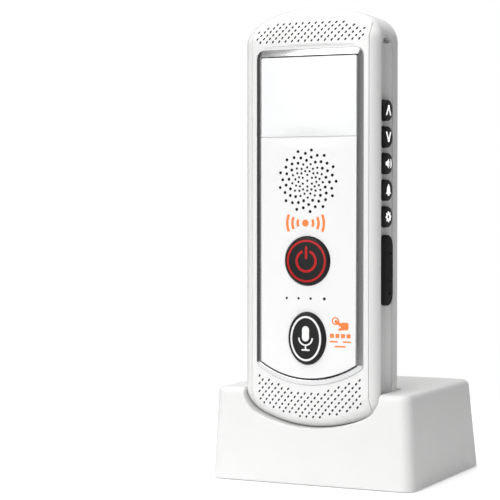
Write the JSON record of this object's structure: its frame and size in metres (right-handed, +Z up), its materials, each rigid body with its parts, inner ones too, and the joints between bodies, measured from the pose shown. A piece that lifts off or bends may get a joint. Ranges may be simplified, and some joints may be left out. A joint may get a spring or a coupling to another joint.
{
  "type": "pager",
  "caption": "Upright white handheld pager with a domed grille top, display window, round speaker pattern, power and talk keys and side keys, standing in a desktop charging dock.",
  "frame": {"origin": "on the surface that the dock stands on, under the middle of the whole object's footprint", "axes": "+Z up, -Y towards the front with the display and keys, +X towards the side with the small keys"},
  "size_m": [0.084, 0.0809, 0.182],
  "materials": {
    "white_gloss_plastic": "glossy moulded ABS",
    "white_satin_plastic": "satin moulded ABS",
    "chrome_trim": "polished plated trim",
    "panel_white": "back-painted clear front plate",
    "display_window": "milky glossy window",
    "display_glass": "polished",
    "black_button_plastic": "fine textured black",
    "black_rubber": "soft matte",
    "black_plastic": "matte",
    "circuit_board": "solder-masked laminate",
    "steel": "plain",
    "zinc_screw": "zinc plated",
    "gold_contact": "gold plated",
    "speaker_paper": "coated paper",
    "speaker_fabric": "acoustic mesh",
    "foam": "closed cell foam",
    "battery_wrap": "laminated pouch",
    "clear_light_pipe": "clear",
    "component_white": "plain"
  },
  "bodies": {
    "dock": {"dock_shell": "white_satin_plastic", "dock_base": "white_satin_plastic", "dock_board": "circuit_board", "dock_inlet": "steel", "dock_screws": "zinc_screw", "rubber_feet": "black_rubber", "ballast_plate": "steel", "contact_carrier": "black_plastic", "pin_sleeves": "gold_contact"},
    "handset": {"front_cover": "white_gloss_plastic", "rear_housing": "white_gloss_plastic", "trim_ring": "chrome_trim", "face_panel": "panel_white", "display_lens": "display_window", "display_module": "display_glass", "display_frame": "black_plastic", "speaker_mesh": "speaker_fabric", "speaker_gasket": "foam", "speaker_basket": "black_plastic", "speaker_cone": "speaker_paper", "speaker_magnet": "steel", "main_board": "circuit_board", "power_switch": "steel", "talk_switch": "steel", "status_lamps": "component_white", "light_pipes": "clear_light_pipe", "microphone": "steel", "microphone_boot": "black_rubber", "radio_module": "steel", "antenna": "gold_contact", "battery": "battery_wrap", "battery_pad": "foam", "vibration_motor": "steel", "motor_cradle": "black_rubber", "side_board": "circuit_board", "side_switches": "component_white", "charging_socket": "steel", "charging_contacts": "gold_contact", "housing_screws": "zinc_screw", "lanyard_bar": "steel", "socket_cover_anchor": "black_rubber"},
    "power_button": {"power_button": "black_button_plastic"},
    "talk_button": {"talk_button": "black_button_plastic"},
    "scroll_up_button": {"scroll_up_button": "black_rubber"},
    "scroll_down_button": {"scroll_down_button": "black_rubber"},
    "volume_button": {"volume_button": "black_rubber"},
    "alert_tone_button": {"alert_tone_button": "black_rubber"},
    "settings_button": {"settings_button": "black_rubber"},
    "socket_cover": {"socket_cover": "black_rubber"},
    "vibration_weight": {"vibration_weight": "steel"},
    "charging_pin_left": {"charging_pin_left": "gold_contact"},
    "charging_pin_right": {"charging_pin_right": "gold_contact"}
  },
  "joints": [
    {"name": "handset_lift", "type": "slide", "parent": "dock", "child": "handset", "axis": [0, 0, 1], "range_m": [0, 0.03]},
    {"name": "power_button_press", "type": "slide", "parent": "handset", "child": "power_button", "axis": [0, 1, 0], "range_m": [0, 0.0006], "stiffness_N_per_m": 900},
    {"name": "talk_button_press", "type": "slide", "parent": "handset", "child": "talk_button", "axis": [0, 1, 0], "range_m": [0, 0.0006], "stiffness_N_per_m": 900},
    {"name": "scroll_up_press", "type": "slide", "parent": "handset", "child": "scroll_up_button", "axis": [-1, 0, 0], "range_m": [0, 0.0005], "stiffness_N_per_m": 600},
    {"name": "scroll_down_press", "type": "slide", "parent": "handset", "child": "scroll_down_button", "axis": [-1, 0, 0], "range_m": [0, 0.0005], "stiffness_N_per_m": 600},
    {"name": "volume_press", "type": "slide", "parent": "handset", "child": "volume_button", "axis": [-1, 0, 0], "range_m": [0, 0.0005], "stiffness_N_per_m": 600},
    {"name": "alert_tone_press", "type": "slide", "parent": "handset", "child": "alert_tone_button", "axis": [-1, 0, 0], "range_m": [0, 0.0005], "stiffness_N_per_m": 600},
    {"name": "settings_press", "type": "slide", "parent": "handset", "child": "settings_button", "axis": [-1, 0, 0], "range_m": [0, 0.0005], "stiffness_N_per_m": 600},
    {"name": "socket_cover_hinge", "type": "hinge", "parent": "handset", "child": "socket_cover", "pos_m": [0.0287, -0.0285, 0.08475], "axis": [0, -1, 0], "range_deg": [0, 110], "stiffness_Nm_per_rad": 0.002},
    {"name": "vibration_spin", "type": "hinge", "parent": "handset", "child": "vibration_weight", "pos_m": [-0.0005, -0.0256, 0.155], "axis": [1, 0, 0], "continuous": true},
    {"name": "charging_pin_left_press", "type": "slide", "parent": "dock", "child": "charging_pin_left", "axis": [0, 0, 1], "range_m": [-0.001, 0], "stiffness_N_per_m": 200},
    {"name": "charging_pin_right_press", "type": "slide", "parent": "dock", "child": "charging_pin_right", "axis": [0, 0, 1], "range_m": [-0.001, 0], "stiffness_N_per_m": 200}
  ]
}
